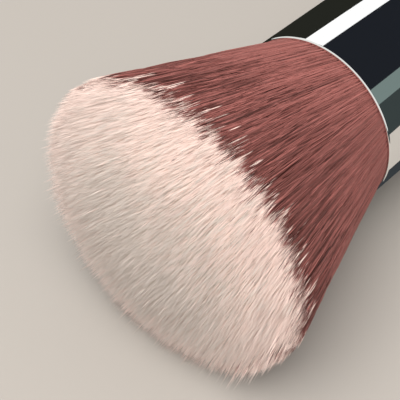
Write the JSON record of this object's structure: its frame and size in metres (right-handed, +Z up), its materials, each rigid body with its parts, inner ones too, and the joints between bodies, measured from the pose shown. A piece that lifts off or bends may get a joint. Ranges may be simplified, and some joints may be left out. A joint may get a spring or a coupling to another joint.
{
  "type": "double-ended makeup brush",
  "caption": "Double-ended makeup brush lying on its side, with a wide flared flat-topped head and a small domed head on a tapered handle.",
  "frame": {"origin": "centre of the footprint, at the level of the surface that the brush lies on", "axes": "+X along the brush's length towards the wide head, +Z up, +Y across"},
  "size_m": [0.1806, 0.0374, 0.0368],
  "materials": {
    "handle_lacquer": "smooth black gloss lacquer",
    "ferrule_metal": "mirror-polished bright metal with a rounded lip",
    "resin": "cast clear amber resin, out of sight",
    "filament": "fine synthetic filament dyed mauve-brown with cream tips"
  },
  "bodies": {
    "root": {"handle": "handle_lacquer", "large_ferrule": "ferrule_metal", "small_ferrule": "ferrule_metal", "large_glue_plug": "resin", "small_glue_plug": "resin", "large_tuft": "filament", "small_tuft": "filament"}
  },
  "joints": []
}
